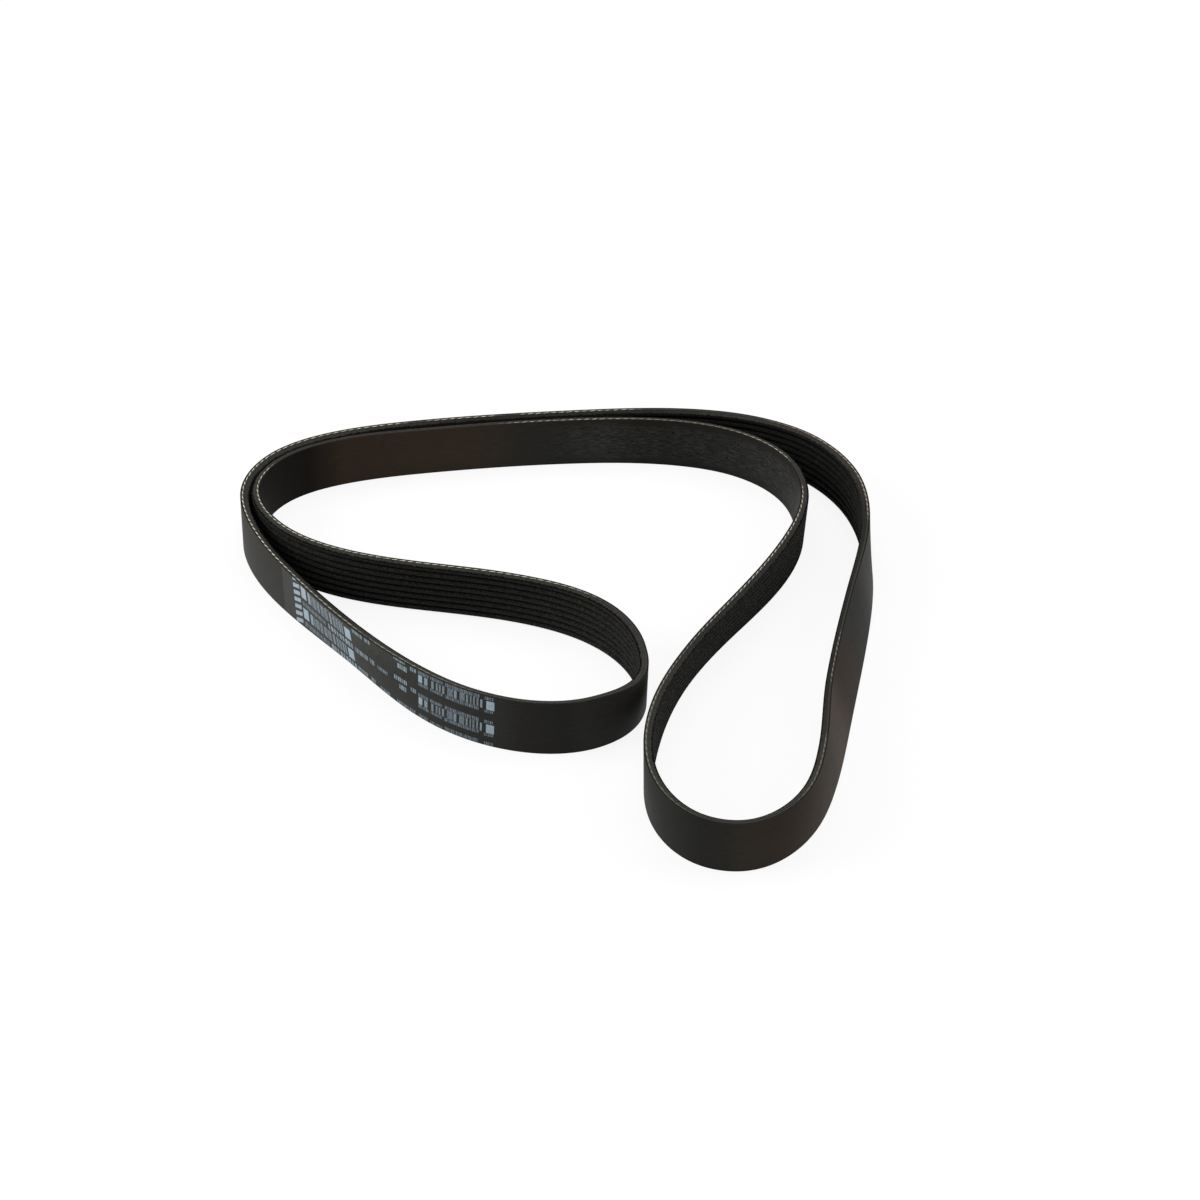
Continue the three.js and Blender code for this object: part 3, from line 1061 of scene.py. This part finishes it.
@dataclass(frozen=True)
class BackPrint(SubAssembly):
    """Transfer print on the back, at the front of the left lobe: a film and marks of ink.

    Places are millimetres along the belt and across it from the lower edge. All of it is
    generic: bars, squares, slanted strokes and rows of small plain blocks.
    """

    crease: float = 30.0
    film_ends: Pair = (405.5, 564.0)
    film_thickness: float = 0.03
    ink_thickness: float = 0.025
    margin: float = 0.2
    thinnest: float = 0.1  # a mark that the margin leaves less of isn't made
    film_steps: int = 110
    mark_steps: int = 3
    fall_ends: Pair = (424.0, 468.0)  # where the first label runs off level
    fall: float = 0.049
    stroke_ends: Pair = (416.2, 422.4)
    stroke_pitch: float = 4.4
    stroke_start: float = 0.4
    stroke_height: float = 2.5
    stroke_slope: float = 0.35
    stroke_cover: float = 0.95
    marks: tuple[Bars | Ticks, ...] = (
        Bars(((20.3, 27.6), (6.9, 13.6)), (
            (423.8, 428.3, 1), (430, 432.2, 0.75), (432.8, 433.9, 0.45), (434.3, 437.8, 0.42),
            (438.4, 440.4, 0.5), (441.4, 444.2, 0.45), (444.7, 447.8, 0.42), (449, 450.9, 0.6),
            (452, 453.8, 0.5), (454.3, 456.6, 0.42), (457.2, 458.5, 0.6), (459.2, 460.4, 0.6),
        )),
        Bars(((20.3, 27.2), (6.9, 13.4)), ((461.8, 466.8, 1),)),
        Bars(((21.5, 25.7), (8.1, 12.3)), ((516.3, 518.7, 0.95), (520, 522, 0.7))),
        Bars(((21.4, 25.8), (8, 12.4)), (
            (524.4, 525.8, 0.55), (527.2, 528.2, 0.5), (529, 530, 0.5), (530.9, 532.2, 0.55),
        )),
        Bars(((21.4, 26), (8, 12.6)), (
            (533.8, 537.1, 0.4), (537.7, 539.2, 0.65), (540.8, 543.6, 0.45), (544.4, 545.5, 0.55),
            (546.5, 547.3, 0.5), (548.1, 549.1, 0.5), (550, 551, 0.5),
        )),
        Bars(((21.1, 25.7), (7.7, 12.3)), ((552, 553, 0.75),)),
        Bars(((20.7, 25.6), (7.3, 12.2)), ((555.1, 559.2, 1),)),
        Ticks(((15.4, 18.2), (1.9, 4.9)), 424.2, 444, 1.2, 0.5),
        Ticks(((15.2, 18.6), (1.8, 5.3)), 446.5, 468, 2.4, 0.85),
        Ticks(((27.9, 28.4),), 446, 461, 2),
        Ticks(((25.6, 28),), 469, 477), Ticks(((25.6, 28),), 479, 483),
        Ticks(((13, 16.2),), 469, 479.5), Ticks(((13, 16.2),), 481, 484.5),
        Ticks(((13, 15.2),), 487, 495.5, cover=0.6),
        Ticks(((0.9, 3.4),), 469, 477.5), Ticks(((0.9, 3.4),), 480, 484),
        Ticks(((0.5, 2.2),), 487.5, 495.5, cover=0.6),
        Ticks(((27, 28.2),), 500.1, 508.6), Ticks(((25.5, 27.9),), 511.1, 514.6),
        Ticks(((22.9, 25.9),), 502.6, 509.1, cover=0.85),
        Ticks(((14.7, 17.3),), 499.6, 509.1), Ticks(((13.1, 15.5),), 511.1, 514.8),
        Ticks(((10.3, 13.1),), 503.1, 509.1, cover=0.85),
        Ticks(((0.3, 2.3),), 500.6, 514.1, cover=0.6),
        Ticks(((26.1, 28.1), (19.3, 21.1), (12.7, 14.7), (5.9, 7.7), (0.3, 2.3)), 516.2, 522.4, 0.95, 0.5),
        Ticks(((26.3, 28.1), (19.5, 21.1), (12.9, 14.7), (6.1, 7.7), (0.3, 1.9)), 523.8, 531.2, 0.95, 0.5),
        Ticks(((26.2, 28.2), (19.3, 21.2), (12.8, 14.9), (5.9, 7.8), (0.3, 2.5)), 532.6, 551.2, 0.95, 0.5),
        Ticks(((26.2, 28), (18.9, 20.3), (12.8, 14.6), (5.5, 6.9), (0.3, 2.1)), 554.2, 559.2, 0.95, 0.5),
    )

    def spans(self) -> Array:
        """All marks, let down where the print runs off level and trimmed at the edges.

        Returns:
            Rows of start, end, low, high, slope and cover.
        """
        count = int(self.section.width // self.stroke_pitch) + 1
        low = self.stroke_start + np.arange(count) * self.stroke_pitch
        strokes = np.column_stack(np.broadcast_arrays(
            *self.stroke_ends, low, low + self.stroke_height, self.stroke_slope, self.stroke_cover
        ))
        spans = np.vstack([strokes, *(mark.spans() for mark in self.marks)])
        start, end = self.fall_ends
        passed = np.clip(spans[:, :1] - start, 0.0, None)
        spans[:, 2:4] -= np.where(spans[:, :1] < end, self.fall * passed, 0.0)
        spans[:, 2:4] = np.clip(spans[:, 2:4], self.margin, self.section.width - self.margin)
        return spans[spans[:, 3] - spans[:, 2] > self.thinnest]

    def plates(self, spans: Array, layer: Pair, steps: int) -> tuple[Array, Array, Array, Array]:
        """Thin closed plates that follow the back.

        Args:
            spans: Rows of start, end, low, high, slope and cover.
            layer: Places of the inner and the outer faces through the thickness.
            steps: Steps along each plate.

        Returns:
            Points, four vertex numbers for each face, and each point's place along and across.
        """
        share = np.linspace(0.0, 1.0, steps + 1)[None, :, None, None]
        up = np.array([0.0, 1.0])[None, None, :, None]
        start, end, low, high, slope, _ = (c[:, None, None, None] for c in spans.T)
        s, up, a = np.broadcast_arrays(start + (end - start) * share, up, np.array(layer))
        b = low + (high - low) * up + slope * (s - start)
        b = np.clip(b, self.margin, self.section.width - self.margin)
        points = self.route.surface(s, a, b)
        number = np.arange((steps + 1) * 4).reshape(steps + 1, 2, 2)
        here, ahead = number[:-1], number[1:]
        loop = [(0, 0), (0, 1), (1, 1), (1, 0)]
        sides = [
            np.column_stack([here[:, i, j], here[:, k, m], ahead[:, k, m], ahead[:, i, j]])
            for (i, j), (k, m) in zip(loop, loop[1:] + loop[:1])
        ]
        first = [[number[0, i, j] for i, j in loop[::-1]]]
        last = [[number[-1, i, j] for i, j in loop]]
        plate = np.vstack([*sides, first, last])
        starts = np.arange(len(spans))[:, None, None] * number.size
        return points.reshape(-1, 3), (plate + starts).reshape(-1, 4), s.ravel(), b.ravel()

    def build(self) -> list[bpy.types.Object]:
        """Makes the film and the ink, each a layer that stands in the one under it.

        Returns:
            The two objects.
        """
        back, (start, end) = self.section.back_face, self.film_ends
        surface = back - self.film_thickness
        whole = np.array([[start, end, self.margin, self.section.width - self.margin, 0.0, 1.0]])
        layer = (back + self.film_thickness, surface)
        points, faces, s, b = self.plates(whole, layer, self.film_steps)
        # Painted shade on the film grows from its start to its end
        hoop, pressing = self.route.hoop(s, b), (s - start) / (end - start)
        film = mesh_object(
            "print_film", points, faces, (PrintFilm(),), self.crease, hoop=hoop, pressing=pressing
        )
        spans, layer = self.spans(), (surface + self.ink_thickness, surface - self.ink_thickness)
        points, faces, s, b = self.plates(spans, layer, self.mark_steps)
        hoop, cover = self.route.hoop(s, b), np.repeat(spans[:, 5], len(s) // len(spans))
        ink = mesh_object(
            "print_ink", points, faces, (TransferInk(),), self.crease, hoop=hoop, cover=cover
        )
        return [film, ink]


@dataclass(frozen=True)
class Studio:
    """Pale floor, soft lamps, white background and the photograph's camera."""

    floor_half: float = 6.0  # metres
    floor_height: float = -0.02
    floor_colour: int = 0xF2F2F2
    floor_lift: float = 0.88
    white: int = 0xFFFFFF
    ambient: float = 0.33
    focal_length: float = 90.0
    sensor: float = 36.0
    clip_end: float = 20.0  # metres
    aim: Triple = (23.108, 35.383, 0.0)
    distance: float = 1528.0
    pitch: float = 37.0
    # Name, place in metres, size in metres, power in watts
    lamps: tuple[tuple[str, Triple, float, float], ...] = (
        ("left_softbox", (-1.6, -0.05, 0.85), 1.2, 33.0),
        ("right_softbox", (1.6, 0.3, 0.95), 1.2, 18.0),
        ("top_softbox", (0.1, 0.7, 1.9), 1.6, 20.0),
    )

    def background_rays(self, tree: bpy.types.NodeTree) -> Socket:
        """Share of 1 for rays that see the background: from the camera, a gloss or a glass."""
        camera, gloss, glass = (
            add(tree, "LightPath", (), f"Is {ray} Ray") for ray in ("Camera", "Glossy", "Transmission")
        )
        seen = add(tree, "Math", (camera, gloss), operation="MAXIMUM")
        return add(tree, "Math", (seen, glass), operation="MAXIMUM")

    def build_world(self) -> None:
        """Makes a soft grey surround that looks white."""
        world = bpy.data.worlds.new("white_surround")
        tree = empty_tree(world)
        level = add(tree, "MapRange", (self.background_rays(tree), 0.0, 1.0, self.ambient, 1.0))
        light = add(tree, "Background", {"Color": linear(self.white), "Strength": level})
        add(tree, "OutputWorld", {"Surface": light})
        bpy.context.scene.world = world

    def build_floor(self) -> bpy.types.Object:
        """Makes the floor: matt white, lifted towards the background where it is seen."""
        corners = np.array([[-1, -1], [1, -1], [1, 1], [-1, 1]]) * self.floor_half
        points = np.column_stack([corners, np.full(4, self.floor_height * METRES)])
        floor = mesh_object("floor", points, np.array([[0, 1, 2, 3]]))
        material = bpy.data.materials.new("matt_white_floor")
        tree = empty_tree(material)
        seen = self.background_rays(tree)
        lift = add(tree, "Math", (seen, self.floor_lift), operation="MULTIPLY")
        matt = add(tree, "BsdfDiffuse", {"Color": linear(self.floor_colour)})
        glow = add(tree, "Emission", {"Color": linear(self.white), "Strength": 1.0})
        add(tree, "OutputMaterial", {"Surface": add(tree, "MixShader", (lift, matt, glow))})
        floor.data.materials.append(material)
        return floor

    def build_lamps(self) -> None:
        """Hangs the soft lamps, each turned towards the belt."""
        for name, place, size, power in self.lamps:
            lamp = bpy.data.lights.new(name, "AREA")
            lamp.shape = "SQUARE"
            lamp.size = size
            lamp.energy = power
            hung = bpy.data.objects.new(name, lamp)
            hung.location = place
            hung.rotation_euler = (-Vector(place)).to_track_quat("-Z", "Y").to_euler()
            bpy.context.scene.collection.objects.link(hung)

    def build_camera(self) -> None:
        """Sets the camera back from its aim, and down by its pitch, looking along +Y."""
        camera = bpy.data.cameras.new("camera")
        camera.lens = self.focal_length
        camera.sensor_width = self.sensor
        camera.clip_end = self.clip_end
        pitch = math.radians(self.pitch)
        back = Vector((0.0, -math.cos(pitch), math.sin(pitch))) * self.distance
        stand = bpy.data.objects.new("camera", camera)
        stand.location = (Vector(self.aim) + back) * METRES
        stand.rotation_euler = (math.radians(90.0) - pitch, 0.0, 0.0)
        bpy.context.scene.collection.objects.link(stand)
        bpy.context.scene.camera = stand

    def build(self) -> None:
        """Builds the whole studio and sets the plain view transform."""
        self.build_world()
        self.build_floor()
        self.build_lamps()
        self.build_camera()
        bpy.context.scene.view_settings.view_transform = "Standard"


def place_piece(piece: bpy.types.Object, slot: str, *nodes: str) -> None:
    """Fixes a piece to the frame and reports it.

    Args:
        piece: The piece.
        slot: Not used.
        nodes: The CAD nodes that it stands for.
    """
    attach(piece, "root")
    if nodes:
        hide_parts(*nodes)
    LOG.info("%s: %d faces", piece.name, len(piece.data.polygons))


def main() -> None:
    """Builds the belt, its cords, its print and the studio."""
    logging.basicConfig(level=logging.INFO, format="%(message)s")
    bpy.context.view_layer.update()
    section = BeltSection()
    route = BeltRoute().trace(section)
    Studio().build()
    place_piece(BeltBody(route, section).build(), "belt_rubber", "belt")
    for side in CutEdge:
        node = f"edge_cord_{side.name.lower()}"
        place_piece(SlicedCord(route, section, side).build(), "tension_cord", node)
    for piece in BackPrint(route, section).build():
        place_piece(piece, "belt_rubber")


if __name__ == "__main__":
    main()
